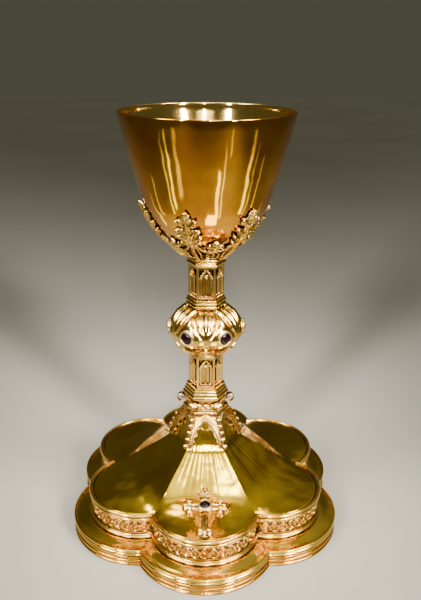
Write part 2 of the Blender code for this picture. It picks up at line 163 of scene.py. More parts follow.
def polished_gold(name, dark, light, rough, swell, flutes=0.0, inside=None):
    """Mirror-polished gilding, hand-raised so it waves a little, with cloudy wear and scratches.

    flutes is the depth of the waves that run out from the axis, and inside is the tone of
    faces that look towards the axis: a lighter copy of the gold, painted light.
    """
    material, inputs, add, link = new_material(name, 1.0)
    place = add("ShaderNodeTexCoord").outputs
    flat = vector_step(add, "MULTIPLY", place["Object"], (1.0, 1.0, 0.0))
    spoke = vector_step(add, "NORMALIZE", flat)
    clouds = noise(add, CLOUDS, 4.0)
    metal = ramp(add, clouds, 0.35, 0.68, dark, light)
    # Painted light: faces that look towards the axis take a lighter copy of the gold tones.
    if inside:
        facing = vector_step(add, "DOT_PRODUCT", place["Normal"], spoke, "Value")
        outward = add("ShaderNodeMath", {0: facing, 1: 0.0}, operation="GREATER_THAN")
        metal = mixed(add, outward.outputs["Value"], ramp(add, clouds, 0.35, 0.68, *inside), metal)
    link(metal, inputs["Base Color"])
    link(span(add, noise(add, SMEARS, 5.0, 0.65), *rough), inputs["Roughness"])
    stretch = add("ShaderNodeMapping", {"Vector": place["Object"], "Scale": (1.0, 1.0, 0.12)})
    scratches = noise(add, SCRATCHES, 2.0, place=stretch.outputs["Vector"])
    normal = bump(add, scratches, SCRATCH_DEPTH, 0.25)
    normal = bump(add, noise(add, WAVES, 1.5), swell, normal=normal)
    if flutes:
        reach = vector_step(add, "LENGTH", flat, output="Value")
        fade = span(add, reach, 1.0, 0.0, FLUTES_FULL, FLUTES_GONE)
        normal = bump(add, noise(add, 14.0, 1.0, place=spoke), flutes, fade, normal)
    link(normal, inputs["Normal"])
    return material


def cast_gold(name, painted_recess_shade, dark, light, rough, shadow=(0.38, 0.86), reach=0.0022):
    """Cast and chased gilding: bright where it is rubbed, with painted shade that browns it in
    recesses.
    """
    material, inputs, add, link = new_material(name, 1.0)
    metal = ramp(add, noise(add, PATCHES, 4.0), 0.35, 0.7, dark, light)
    # Painted shade: ambient occlusion darkens the base colour towards the recess colour in hollows
    # and creases.
    hollow = add("ShaderNodeAmbientOcclusion", {"Distance": reach}, samples=8)
    shade = ramp(add, hollow.outputs["AO"], *shadow, painted_recess_shade, (1.0, 1.0, 1.0))
    link(mixed(add, 1.0, metal, shade, "MULTIPLY"), inputs["Base Color"])
    grain = noise(add, GRAIN, 4.0, 0.6)
    link(span(add, grain, *rough), inputs["Roughness"])
    link(bump(add, grain, GRAIN_DEPTH, 0.5), inputs["Normal"])
    return material


def garnet():
    """A dark polished stone with a deep red glow and soft inner clouds."""
    material, inputs, add, link = new_material("garnet")
    colour = ramp(add, noise(add, 420.0), 0.3, 0.75, (0.001, 0.0004, 0.001), (0.010, 0.001, 0.004))
    link(colour, inputs["Base Color"])
    link(span(add, noise(add, GRAIN), 0.03, 0.09), inputs["Roughness"])
    inputs["IOR"].default_value = 1.3
    return material


# Dark and light tones, roughness, depth of waves, depth of flutes, and the tones of the inside
POLISHED = {
    # The bowl's outer tones are deepened to brown amber as a painted reflection of brown
    # surroundings, and its inside tones are a lighter copy, painted light.
    "polished_gold": ((0.56, 0.20, 0.008), (0.78, 0.39, 0.022), (0.04, 0.12), 0.0003, 0.0,
                      ((0.96, 0.60, 0.14), (1.0, 0.73, 0.27))),
    "foot_gold": ((0.66, 0.37, 0.014), (0.88, 0.57, 0.035), (0.08, 0.19), 0.0011, 0.00028),
    "knop_gold": ((0.72, 0.44, 0.07), (0.90, 0.62, 0.16), (0.09, 0.20), 0.0002),
    "ledge_gold": ((0.66, 0.40, 0.04), (0.86, 0.58, 0.09), (0.10, 0.20), 0.0003),
}
# Painted shade colour for the recesses, dark and light tones, roughness, and how far the recesses'
# painted shadow goes
CAST = {
    "moulding_gold": ((0.16, 0.07, 0.014), (0.66, 0.38, 0.05), (0.88, 0.60, 0.13), (0.12, 0.25)),
    "cast_gold": ((0.06, 0.02, 0.005), (0.74, 0.43, 0.09), (0.96, 0.68, 0.23), (0.12, 0.26)),
    "openwork_gold": ((0.04, 0.012, 0.002), (0.62, 0.33, 0.05), (0.90, 0.60, 0.17), (0.14, 0.30),
                      (0.48, 0.98), 0.004),
    "band_gold": ((0.10, 0.03, 0.004), (0.48, 0.21, 0.02), (0.68, 0.37, 0.05), (0.12, 0.25)),
    "bezel_gold": ((0.25, 0.11, 0.03), (0.82, 0.55, 0.22), (0.98, 0.74, 0.40), (0.22, 0.34)),
    "bare_brass": ((0.25, 0.20, 0.14), (0.50, 0.36, 0.16), (0.68, 0.52, 0.26), (0.3, 0.5)),
}
MATERIALS = {name: polished_gold(name, *look) for name, look in POLISHED.items()}
MATERIALS.update({name: cast_gold(name, *look) for name, look in CAST.items()})
MATERIALS["garnet"] = garnet()


# Meshes

STEM_BORE = 5.2
CORNER_EASE = 0.3
LEAST_BULGE = 0.02


def new_piece(name, points, faces, slot, replaces=(), look=None, sharp=40.0, body=BODY):
    """Make a piece from points in millimetres, put it on its body and give it its material."""
    mesh = bpy.data.meshes.new(name)
    mesh.from_pydata((np.asarray(points) * MM).tolist(), [], np.asarray(faces).tolist())
    mesh.materials.append(MATERIALS[look or slot])
    mesh.shade_smooth()
    mesh.set_sharp_from_angle(angle=math.radians(sharp))
    piece = bpy.data.objects.new(name, mesh)
    bpy.context.scene.collection.objects.link(piece)
    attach(piece, body)
    if replaces:
        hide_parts(*replaces)
    return piece


def quads(rows, columns, closed=False):
    """Faces of a grid of points that goes round its columns, and round its rows if closed."""
    i, j = np.meshgrid(np.arange(rows if closed else rows - 1), np.arange(columns), indexing="ij")
    i, j = i.ravel(), j.ravel()
    up, along = (i + 1) % rows, (j + 1) % columns
    corners = [i * columns + j, i * columns + along, up * columns + along, up * columns + j]
    return np.stack(corners, -1)


def swept(rows, closed=True):
    """Points and faces of rings of points, each joined to the next and the last to the first."""
    return np.concatenate(rows), quads(len(rows), len(rows[0]), closed)


def joined(meshes):
    """Join (points, faces) pairs into one pair."""
    points, faces, start = [], [], 0
    for some_points, some_faces in meshes:
        points.append(some_points)
        faces.append(np.asarray(some_faces) + start)
        start += len(some_points)
    return np.concatenate(points), np.concatenate(faces)


def turn_about_z(points, angle):
    """Turn points about the axis."""
    c, s = math.cos(angle), math.sin(angle)
    x, y, z = points[..., 0], points[..., 1], points[..., 2]
    return np.stack([x * c - y * s, x * s + y * c, z], -1)


def six_times(points):
    """Repeat a row, or rows, of points of one side all round."""
    return np.concatenate([turn_about_z(points, turn) for turn in SIDE_TURNS], axis=-2)


def at_height(plan, height):
    """Put points of a plan at a height."""
    return np.column_stack([plan, np.full(len(plan), height)])


def around(radius, angle, height, centre=0.0):
    """Points by radius, angle and height round the axis, or round a centre on X."""
    radius, angle, height = np.broadcast_arrays(radius, angle, height)
    return np.stack([centre + radius * np.cos(angle), radius * np.sin(angle), height], -1)


def arc(centre, radius, start, end, steps=6):
    """Points of an arc, in degrees, as (radius, height) pairs."""
    angles = np.radians(np.linspace(start, end, steps + 1))
    return [(centre[0] + radius * math.cos(a), centre[1] + radius * math.sin(a)) for a in angles]


def smooth_line(points, steps):
    """A Catmull-Rom line through points, with a number of steps between each two."""
    p = np.asarray(points, float)
    p = np.concatenate([2 * p[:1] - p[1:2], p, 2 * p[-1:] - p[-2:-1]])
    t = np.linspace(0, 1, steps, endpoint=False)[:, None]
    pieces = []
    for a, b, c, d in zip(p, p[1:], p[2:], p[3:]):
        curve = 2 * b + (c - a) * t + (2 * a - 5 * b + 4 * c - d) * t**2
        pieces.append((curve + (3 * b - 3 * c + d - a) * t**3) / 2)
    return np.concatenate(pieces + [p[-2:-1]])


class Line:
    """An outline in (radius, height) that can be read by distance along it."""

    def __init__(self, points):
        self.points = np.asarray(points, float)
        steps = np.linalg.norm(np.diff(self.points, axis=0), axis=1)
        self.walked = np.concatenate([[0.0], np.cumsum(steps)])
        slope = np.gradient(self.points, self.walked, axis=0)
        self.slope = slope / np.linalg.norm(slope, axis=1, keepdims=True)
        self.length = self.walked[-1]

    def at(self, distance):
        """Point and direction at a distance, as two (radius, height) arrays."""
        point = [np.interp(distance, self.walked, self.points[:, k]) for k in (0, 1)]
        slope = [np.interp(distance, self.walked, self.slope[:, k]) for k in (0, 1)]
        return point, slope

    def raised(self, distance, h):
        """Radius and height of a point raised off the outline, and the radius it is raised from."""
        (radius, height), (slope_out, slope_up) = self.at(distance)
        return radius + h * slope_up, height - h * slope_out, radius


def offset_line(points, distance):
    """A line a distance to the right of one in (radius, height): outside, where it runs upwards."""
    points = np.asarray(points, float)
    slope = np.gradient(points, axis=0)
    slope /= np.linalg.norm(slope, axis=1, keepdims=True)
    return points + distance * np.column_stack([slope[:, 1], -slope[:, 0]])


def turned(profile, steps):
    """Points and faces of an outline turned about Z; it runs up its outer side and is closed."""
    profile = np.asarray(profile, float)
    angles = 2 * math.pi * np.arange(steps) / steps
    return swept(around(profile[:, :1], angles, profile[:, 1:]))


def hex_section(corner):
    """Points round a hexagon whose corners are eased."""
    flat = corner * math.cos(HALF_SIDE)
    centre = corner - CORNER_EASE / math.cos(HALF_SIDE)
    points = []
    for turn in CORNER_TURNS:
        for a in np.linspace(-HALF_SIDE, HALF_SIDE, 4):
            x = centre * math.cos(turn) + CORNER_EASE * math.cos(turn + a)
            y = centre * math.sin(turn) + CORNER_EASE * math.sin(turn + a)
            points.append((x, y))
        side = turn + HALF_SIDE
        points.append((flat * math.cos(side), flat * math.sin(side)))
    return np.asarray(points)


def hex_ring(profile):
    """A six-sided moulding from a (circumradius, height) outline, up its outer side and closed."""
    return swept([at_height(hex_section(corner), height) for corner, height in profile])


def lobe_circle(ridge, middle):
    """Centre and radius of a lobe's arc, from the radii of its two ridges and of its middle."""
    ridge_x = ridge * math.cos(HALF_SIDE)
    bulge = np.maximum(middle - ridge_x, LEAST_BULGE)
    centre = ((ridge_x + bulge)**2 - ridge**2) / (2 * bulge)
    return centre, ridge_x + bulge - centre


def notch_radius(lobe):
    """How far from the axis two neighbouring lobes of a given radius meet."""
    sweep = HALF_SIDE + math.asin(LOBE_CENTRE * math.sin(HALF_SIDE) / lobe)
    return lobe * math.sin(sweep) / math.sin(HALF_SIDE)


def lobed_row(ridge, middle, height, steps):
    """One level of a six-lobed form, all the way round, from arcs between its ridges."""
    centre, radius = lobe_circle(ridge, middle)
    sweep = math.atan2(ridge * math.sin(HALF_SIDE), ridge * math.cos(HALF_SIDE) - centre)
    angles = sweep * (2 * np.arange(steps) / steps - 1)
    return six_times(around(radius, angles, height, centre))


def lobed_ring(profile):
    """Sweep a (lobe radius, height) outline round the lobes, up its outer side and closed."""
    return swept([lobed_row(notch_radius(r), LOBE_CENTRE + r, z, 40) for r, z in profile])


def snapped(outline, u, v, border, step):
    """Move the border points of a cut grid onto the outline."""
    nudge = step / 8
    for _ in range(4):
        depth = outline(u, v)
        slope_u = (outline(u + nudge, v) - depth) / nudge
        slope_v = (outline(u, v + nudge) - depth) / nudge
        shift = np.clip(depth / np.maximum(slope_u**2 + slope_v**2, 0.2), -step / 2, step / 2)
        u = np.where(border, u - shift * slope_u, u)
        v = np.where(border, v - shift * slope_v, v)
    return u, v


def plate_faces(kept, index, total):
    """Faces of a plate's front, back and rim; its back's points follow the front's."""
    a, b = index[:-1, :-1], index[1:, :-1]
    c, d = index[1:, 1:], index[:-1, 1:]
    front = np.stack([a[kept], b[kept], c[kept], d[kept]], -1)
    faces = [front, front[:, ::-1] + total]
    padded = np.pad(kept, 1)
    sides = (
        (padded[:-2, 1:-1], d, a), (padded[2:, 1:-1], b, c),
        (padded[1:-1, :-2], a, b), (padded[1:-1, 2:], c, d),
    )
    for neighbour, start, end in sides:
        open_side = kept & ~neighbour
        s, e = start[open_side], end[open_side]
        faces.append(np.stack([e, s, s + total, e + total], -1))
    return np.concatenate(faces)


def relief(outline, height, place, spans, step, back):
    """A plate cut to an outline, with a modelled face.

    outline(u, v) is negative inside. height(u, v, depth) is the face's height where the edge
    is depth away. place(u, v, h) puts a point of the flat pattern in space.
    """
    (u0, u1), (v0, v1) = spans
    axes = np.arange(u0, u1 + step, step), np.arange(v0, v1 + step, step)
    u, v = np.meshgrid(*axes, indexing="ij")
    kept = outline((u[:-1, :-1] + u[1:, 1:]) / 2, (v[:-1, :-1] + v[1:, 1:]) / 2) < 0
    cells = np.pad(kept.astype(int), 1)
    count = cells[:-1, :-1] + cells[1:, :-1] + cells[:-1, 1:] + cells[1:, 1:]
    used = count > 0
    u, v = snapped(outline, u, v, used & (count < 4), step)
    index = np.cumsum(used.ravel()).reshape(used.shape) - 1
    u, v = u[used], v[used]
    depth = np.maximum(-outline(u, v), 0.0)
    front = place(u, v, height(u, v, depth))
    rear = place(u, v, np.full(u.shape, float(back)))
    return np.concatenate([front, rear]), plate_faces(kept, index, len(u))


def hexagon_point(apothem, across, height, lift):
    """A point of a six-sided form's front face, lifted by scaling about the axis."""
    scale = 1 + lift / apothem
    return np.stack([apothem * scale, across * scale, height], -1)


def carved_prism(apothems, heights, carve, columns=44):
    """A six-sided tube whose faces carry relief; carve(u, v, half) gives its height."""
    share = np.arange(columns) / columns * 2 - 1
    apothem = np.asarray(apothems)[:, None]
    v = np.repeat(np.asarray(heights)[:, None], columns, axis=1)
    half = np.broadcast_to(apothem * math.tan(HALF_SIDE), v.shape)
    u = half * share
    face = hexagon_point(apothem, u, v, carve(u, v, half))
    bore = np.column_stack([np.full(columns, STEM_BORE), STEM_BORE * math.tan(HALF_SIDE) * share])
    inner = [at_height(bore, z) for z in (heights[-1], heights[0])]
    return swept(six_times(np.concatenate([face, inner])))


def ribbon(path, half_widths, half_thickness, turn):
    """A leaf-like strip along a path in (radius, height), round-edged, with a grooved face."""
    sides = 14
    path = np.asarray(path, float)
    normal = offset_line(path, 1.0) - path
    widths = np.asarray(half_widths)[:, None]
    a = 2 * math.pi * np.arange(sides) / sides
    groove = 1 - 0.55 * bell(np.cos(a), 0.3) * (np.sin(a) > 0)
    lift = half_thickness * np.sin(a) * groove
    x = path[:, :1] + normal[:, :1] * lift
    z = path[:, 1:] + normal[:, 1:] * lift
    points = turn_about_z(np.stack([x, widths * np.cos(a), z], -1).reshape(-1, 3), turn)
    caps = []
    for end in (np.arange(sides)[::-1], (len(path) - 1) * sides + np.arange(sides)):
        for k in range(1, sides - 1, 2):
            caps.append([end[0], end[k], end[k + 1], end[(k + 2) % sides]])
    return points, np.concatenate([quads(len(path), sides), caps])


def on_axis(points, origin, outward):
    """Stand points made about Z on an origin, with Z turned to a direction."""
    turn = Vector((0, 0, 1)).rotation_difference(Vector(outward)).to_matrix()
    return np.asarray(points) @ np.asarray(turn).T + np.asarray(origin)


# Flat shapes, as signed distances that are negative inside


def disc(x, y, centre, radius):
    return np.hypot(x - centre[0], y - centre[1]) - radius


def bar(x, y, start, end, radius):
    """A line with round ends."""
    dx, dy = end[0] - start[0], end[1] - start[1]
    t = np.clip(((x - start[0]) * dx + (y - start[1]) * dy) / (dx * dx + dy * dy), 0, 1)
    return np.hypot(x - start[0] - t * dx, y - start[1] - t * dy) - radius


def chain(x, y, points, radius):
    """Lines with round ends from point to point."""
    return union(*[bar(x, y, start, end, radius) for start, end in zip(points, points[1:])])


def block(x, y, centre, half_x, half_y):
    qx, qy = np.abs(x - centre[0]) - half_x, np.abs(y - centre[1]) - half_y
    return np.hypot(np.maximum(qx, 0), np.maximum(qy, 0)) + np.minimum(np.maximum(qx, qy), 0)


def arched(x, y, half, bottom, spring):
    """An upright opening with a pointed head."""
    head = np.maximum(np.hypot(x + half, y - spring), np.hypot(x - half, y - spring)) - 2 * half
    return np.maximum(np.where(y > spring, head, np.abs(x) - half), bottom - y)


def petal(x, y, start, end, width):
    """A pointed leaf from one point to another."""
    dx, dy = end[0] - start[0], end[1] - start[1]
    length = math.hypot(dx, dy)
    along = ((x - start[0]) * dx + (y - start[1]) * dy) / length - length / 2
    across = np.abs((y - start[1]) * dx - (x - start[0]) * dy) / length
    radius = (length**2 / 4 + width**2 / 4) / width
    return np.hypot(along, across + radius - width / 2) - radius


def union(*shapes):
    """The parts that any of the shapes covers."""
    return np.minimum.reduce(shapes)


def smooth_union(a, b, blend):
    """The union of two shapes, eased where they meet."""
    share = np.clip(0.5 + 0.5 * (b - a) / blend, 0, 1)
    return b + (a - b) * share - blend * share * (1 - share)


def ease(value, low, high):
    """Rise smoothly from 0 at low to 1 at high."""
    t = np.clip((value - low) / (high - low), 0, 1)
    return t * t * (3 - 2 * t)


def round_edge(depth, width):
    """A quarter-round edge: 0 at the outline and beyond, 1 from a width in."""
    t = np.clip(depth / width, 0, 1)
    return np.sqrt(1 - (1 - t)**2)


def bell(distance, width):
    """A soft swelling: 1 at no distance, and nearly gone at twice the width."""
    return np.exp(-(distance / width)**2)


def raised(h, shape, rise, width):
    """Raise a round-edged boss out of a face wherever a flat shape covers it."""
    return np.where(shape <= 0, np.maximum(h, rise * round_edge(-shape, width)), h)


# The foot

# Radius of the ridges, radius of the lobes' middles, and height
FOOT_LEVELS = [
    (54.4, 69.5, 24.3), (52.4, 60.5, 24.9), (50.0, 50.0, 26.1), (45.5, 41.2, 28.6),
    (39.0, 34.0, 33.1), (32.0, 27.8, 37.6), (25.6, 22.2, 41.7), (20.3, 17.6, 46.4),
    (15.1, 13.1, 57.2), (12.6, 10.9, 63.8),
]
FOOT_LINE = smooth_line(FOOT_LEVELS, 9)
FOOT_WALL = 1.1


def foot_shell():
    """The polished foot: a hexagon at the stem that opens into six lobes."""
    steps = 36
    rows = [lobed_row(ridge, middle, height, steps) for ridge, middle, height in FOOT_LINE]
    rows.append(lobed_row(4.2, 4.2, z_span("foot_shell")[1], steps))
    piece = new_piece("foot_shell_polished", *swept(rows, closed=False), "polished_gold",
                      ["foot_shell"], "foot_gold", 30)
    wall = piece.modifiers.new("Wall", "SOLIDIFY")
    wall.thickness = FOOT_WALL * MM
    wall.offset = -1.0
    wall.use_even_offset = True


def foot_height(across, out):
    """Height of the foot's skin at a place on the front lobe, by halving."""
    low = np.zeros(across.shape)
    high = np.full(across.shape, len(FOOT_LINE) - 1.0)
    rows = np.arange(len(FOOT_LINE))
    for _ in range(24):
        middle = (low + high) / 2
        ridge, lobe = (np.interp(middle, rows, FOOT_LINE[:, k]) for k in (0, 1))
        centre, radius = lobe_circle(ridge, lobe)
        outside = np.hypot(out - centre, across) > radius
        high = np.where(outside, middle, high)
        low = np.where(outside, low, middle)
    return np.interp(low, rows, FOOT_LINE[:, 2])


def gallery():
    """The beaded mouldings over and under the upright wall."""
    low, high = z_span("gallery_top_moulding")
    top = [(28.0, low + 1.2), (25.6, low + 1.2), (25.6, low), (28.9, low)]
    top += arc((29.15, low + 0.75), 0.75, -80, 70, 7) + arc((29.0, low + 1.75), 0.3, -60, -180, 3)
    top += arc((29.1, high - 1.0), 1.0, -75, 110, 10) + [(28.2, high - 0.5), (28.0, high - 0.8)]
    new_piece("gallery_top_beads", *lobed_ring(top), "moulding_gold", ["gallery_top_moulding"])
    low, high = z_span("gallery_base_moulding")
    base = [(27.4, high), (27.4, low), (29.9, low)] + arc((29.6, low + 0.6), 0.6, -60, 80, 6)
    base += arc((29.1, high - 0.5), 0.5, -40, 90, 5)
    new_piece("gallery_base_beads", *lobed_ring(base), "moulding_gold", ["gallery_base_moulding"])


LATTICE_RADIUS = 29.0
LATTICE_PERIODS = 8
LATTICE_DEPTH = 0.75
STRAND_HALF_WIDTH = 0.5


def lattice_relief(along, up, period, half):
    """Height of interlaced arcs with a bud in each opening and a dot on each side of a bud."""
    swing = half - 1.3
    phase = 2 * math.pi * along / period
    tilt = np.hypot(1.0, swing * 2 * math.pi / period * np.sin(phase))
    strands = [np.abs(up - sign * swing * np.cos(phase)) / tilt for sign in (1, -1)]
    face = round_edge(STRAND_HALF_WIDTH - union(*strands), STRAND_HALF_WIDTH)
    border = ease(np.abs(up), half - 0.95, half - 0.6)
    share = np.abs((along / (period / 2)) % 1.0 - 0.5)
    side = share * period / 2
    centre = (share - 0.5) * period / 2
    petals = 4 * np.abs(np.arctan2(up, centre + 1e-9))
    bud = 0.85 + 0.2 * np.cos(petals) - np.hypot(centre, up)
    dot = 0.5 - np.hypot(side, np.abs(up) - half + 1.6)
    bosses = np.maximum(round_edge(bud, 0.7) * 0.4, round_edge(dot, 0.5) * 0.45)
    return np.maximum(np.maximum(face, border) * LATTICE_DEPTH, bosses)


def lattice_band():
    """The wall's face, all the way round its lobes."""
    low, high = z_span("gallery_wall")
    steps = 360
    notch = notch_radius(LATTICE_RADIUS)
    sweep = math.atan2(notch / 2, notch * math.cos(HALF_SIDE) - LOBE_CENTRE)
    length = 2 * sweep * LATTICE_RADIUS
    along = length * (np.arange(steps) / steps - 0.5)
    angles = along / LATTICE_RADIUS
    heights = np.linspace(low, high, 44)
    up = heights[:, None] - (low + high) / 2
    carved = lattice_relief(along[None, :], up, length / LATTICE_PERIODS, (high - low) / 2)
    rows = []
    for height, radius in zip(heights, LATTICE_RADIUS - LATTICE_DEPTH + carved):
        rows.append(six_times(around(radius, angles, height, LOBE_CENTRE)))
    inner = LATTICE_RADIUS - 1.1
    for height in (high, low):
        rows.append(lobed_row(notch_radius(inner), LOBE_CENTRE + inner, height, steps))
    new_piece("gallery_lattice", *swept(rows), "cast_gold", ["gallery_wall"], "openwork_gold")


LEDGE_EDGE = 39.5


def foot_ledge():
    """The coved ledge outside the wall, with its beaded edge."""
    low, high = z_span("foot_flange")
    bead = LEDGE_EDGE - 0.75
    cove = [(26.0, high), (30.2, high), (31.2, high - 0.12), (32.4, high - 0.45),
            (33.8, high - 0.95), (35.2, high - 1.35), (36.6, high - 1.55), (37.9, high - 1.6)]
    ledge = [(26.0, low + 1.2), (37.2, low + 1.0), (37.2, low), (38.8, low)]
    ledge += arc((bead, low + 0.8), 0.75, -80, 60, 7) + [(bead, low + 1.75)]
    ledge += arc((bead, low + 2.75), 0.75, -60, 150, 12) + cove[::-1]
    new_piece("foot_ledge", *lobed_ring(ledge), "moulding_gold", ["foot_flange"], "ledge_gold")


def base_ring():
    """The ringed band that stands on the table."""
    low, high = z_span("base_band")
    band = [(37.2, high), (37.2, low), (39.2, low)] + arc((38.95, 0.7), 0.5, -55, 80, 6)
    band += [(38.75, 1.5), (38.6, 2.5)] + arc((38.8, 3.2), 0.5, -75, 75, 6)
    band += [(38.6, 3.9), (38.5, 4.5)] + arc((38.55, 5.1), 0.5, -70, 80, 6) + [(38.3, high)]
    new_piece("base_band_turned", *lobed_ring(band), "moulding_gold", ["base_band"], "band_gold")


# The rod through the stem, with the nut that draws the stack tight

ROD_RADIUS = 3.0
THREAD_PITCH = 1.0
THREAD_DEPTH = 0.5
THREAD_TOP = 72.0
NUT_CORNER = 5.8


def tie_rod():
    """The rod, with its flange under the cup and a thread on its lower end."""
    low, high = z_span("tie_rod")
    turns = np.arange(36) / 36
    heights = np.arange(low + 0.5, THREAD_TOP, THREAD_PITCH / 6)
    groove = 1 - np.abs((heights[:, None] / THREAD_PITCH - turns) % 1.0 * 2 - 1)
    rows = [(0.01, low), (ROD_RADIUS - 0.8, low)]
    rows += zip(ROD_RADIUS - THREAD_DEPTH * groove, heights)
    rows += [(ROD_RADIUS, THREAD_TOP + 0.5), (ROD_RADIUS, high - 1.5), (6.5, high - 1.5),
             (6.5, high), (0.01, high)]
    rings = [around(radius, 2 * math.pi * turns, height) for radius, height in rows]
    new_piece("tie_rod_threaded", *swept(rings), "bare_brass", ["tie_rod"])


def fasteners():
    """The washer, and the hexagon nut with its turned-down corners."""
    low, high = z_span("rod_washer")
    washer = [(7.2, low), (7.4, low + 0.2), (7.4, high - 0.2), (7.2, high), (3.4, high), (3.4, low)]
    new_piece("rod_washer_turned", *turned(washer, 96), "bare_brass", ["rod_washer"], body="washer")
    low, high = z_span("rod_nut")
    profile = [(4.95, low), (NUT_CORNER, low + 0.5), (NUT_CORNER, high - 0.5), (4.95, high),
               (3.6, high), (3.15, high - 0.45), (3.15, low + 0.45), (3.6, low)]
    points, faces = turned(profile, 72)
    across = np.arctan2(points[:, 1], points[:, 0]) % (2 * HALF_SIDE) - HALF_SIDE
    flat = NUT_CORNER * math.cos(HALF_SIDE) / np.cos(across)
    points[:, :2] *= np.minimum(1.0, flat / np.hypot(points[:, 0], points[:, 1]))[:, None]
    new_piece("rod_nut_hexagon", points, faces, "bare_brass", ["rod_nut"], body="nut")


# The cup

CUP_WALL = 0.8
CUP_SIDE = [
    (6.0, 160.3), (11.0, 161.1), (15.5, 163.1), (20.4, 166.7), (24.8, 171.2), (28.4, 176.4),
    (31.2, 181.6), (33.5, 187.2), (38.7, 204.5), (42.3, 217.8), (44.5, 227.0),
]


def cup():
    """The spun bowl, with a thin rolled lip."""
    low, high = z_span("cup")
    side = smooth_line([(0.01, low)] + CUP_SIDE, 8).tolist()
    lip = [(44.85, 229.0)] + arc((44.55, high - 0.55), 0.55, -20, 170, 10)
    inner = offset_line(side[::-1], CUP_WALL)
    inner[:, 0] = np.maximum(inner[:, 0], 0.01)
    profile = side + lip + [(43.95, 229.0)] + inner.tolist()
    new_piece("cup_bowl", *turned(profile, 180), "polished_gold", ["cup"])


# Mouldings of the stem


def bead_ring(node, name, beads, neck):
    """A six-sided moulding: a neck with rounded beads, each (height, circumradius, radius)."""
    low, high = z_span(node)
    profile = [(STEM_BORE, high), (STEM_BORE, low), (neck, low)]
    for height, corner, radius in beads:
        profile += arc((corner - radius, low + height), radius, -90, 90, 6)
    profile.append((neck, high))
    new_piece(name, *hex_ring(profile), "moulding_gold", [node])


def stem_mouldings():
    """The beaded and stepped collars along the stem."""
    bead_ring("cup_collar", "cup_collar_beads",
              [(1.3, 10.9, 0.75), (2.75, 10.5, 0.45), (4.2, 11.1, 0.8)], 9.9)
    bead_ring("knop_upper_collar", "knop_upper_beads",
              [(1.5, 11.3, 0.85), (3.6, 11.3, 0.75), (5.0, 10.7, 0.4)], 10.2)
    bead_ring("knop_lower_collar", "knop_lower_beads", [(0.9, 10.15, 0.45), (2.2, 9.9, 0.3)], 9.6)
    low, high = z_span("stem_base_collar")
    steps = [(STEM_BORE, high), (STEM_BORE, low), (13.2, low), (13.3, low + 1.2), (12.9, low + 1.7),
             (12.4, low + 1.9), (12.4, low + 3.0), (12.2, low + 3.3), (11.7, low + 3.6),
             (11.7, low + 4.7), (11.5, low + 5.0), (11.1, low + 5.2), (11.1, high)]
    new_piece("stem_base_steps", *hex_ring(steps), "moulding_gold", ["stem_base_collar"])


# The stem

STEM_APOTHEM = 8.1


def window(u, v, bottom, top):
    """A two-light window with a foiled circle in its head, under a crocketed gable."""
    x = np.abs(u)
    opening = arched(x, v, 3.4, bottom + 1.1, top - 6.5)
    h = -0.85 * ease(-opening, 0.0, 0.3)
    h -= 1.0 * ease(-arched(x - 1.6, v, 1.2, bottom + 1.4, top - 7.4), 0.0, 0.3)
    for foil in range(4):
        angle = foil * math.pi / 2
        eye = disc(u, v, (0.6 * math.cos(angle), top - 3.9 + 0.6 * math.sin(angle)), 0.5)
        h = np.minimum(h, -0.85 - 0.6 * ease(-eye, 0.0, 0.25))
    h += 0.35 * ease(0.32 - x, 0.0, 0.25) * (opening < -0.4) * (v < top - 5.8)
    above = (v - top + 0.9) * 3.6 + x * 5.1
    h -= 0.45 * ease(above, 1.5, 3.5) * ease(v, top - 6.2, top - 5.6)
    h = raised(h, bar(x, v, (3.6, top - 6.0), (0, top - 0.9), 0.42), 0.4, 0.35)
    for step in range(1, 4):
        bud = disc(x, v, (3.75 - step * 0.95, top - 5.6 + step * 1.42), 0.42)
        h = raised(h, bud, 0.42, 0.42)
    return h


def traceried_stem(node, name):
    """One length of the stem, with a window in each face and a rib on each corner."""
    low, high = z_span(node)
    rows = 96

    def carve(u, v, half):
        edge = half - np.abs(u)
        h = window(u, v, low, high)
        h = np.where(edge < 0.95, 0.33 * round_edge(0.95 - edge, 0.5), h)
        h = np.where((edge > 0.95) & (edge < 1.25), np.minimum(h, -0.3), h)
        return np.where(np.minimum(v - low, high - v) < 0.7, 0.3, h)

    tube = carved_prism(np.full(rows, STEM_APOTHEM), np.linspace(low, high, rows), carve)
    new_piece(name, *tube, "cast_gold", [node])


def crocketed_band():
    """The band under the stem: sprigs on its faces and a row of pearls round its foot."""
    low, high = z_span("crocket_band")
    rows = np.linspace(low, high, 60)
    outline = [(13.4, low), (13.4, low + 1.5), (12.3, low + 1.8), (11.6, low + 2.2),
               (11.4, low + 3.0), (11.4, high - 1.5), (11.9, high - 0.9), (11.9, high)]
    radii, heights = zip(*outline)
    corners = np.interp(rows, heights, radii)

    def carve(u, v, half):
        up = v - (low + high) / 2 - 0.7
        h = -0.25 * ease(half - np.abs(u), 0.5, 0.9) * ease(1.9 - np.abs(up), 0.0, 0.3)
        for x in (-3.9, 0.0, 3.9):
            away = np.hypot(u - x, up)
            leaves = 1.45 + 0.35 * np.cos(5 * np.arctan2(up, u - x) + 1.5)
            h = raised(h, away - leaves, 0.75, 0.9)
            h = np.where(away < 0.5, h + 0.3 * round_edge(0.5 - away, 0.5), h)
        h = raised(h, disc(np.abs(u), up, (1.95, 0.0), 0.5), 0.4, 0.5)
        over = v - low - 0.75
        pearl = np.abs(np.cos(math.pi * u / 1.5)) * np.sqrt(np.clip(1 - (over / 0.75)**2, 0, 1))
        return np.where(np.abs(over) < 0.75, 0.45 * pearl - 0.3, h)

    band = carved_prism(corners * math.cos(HALF_SIDE), rows, carve, 64)
    new_piece("crocket_band_sprigs", *band, "cast_gold", ["crocket_band"], "openwork_gold")


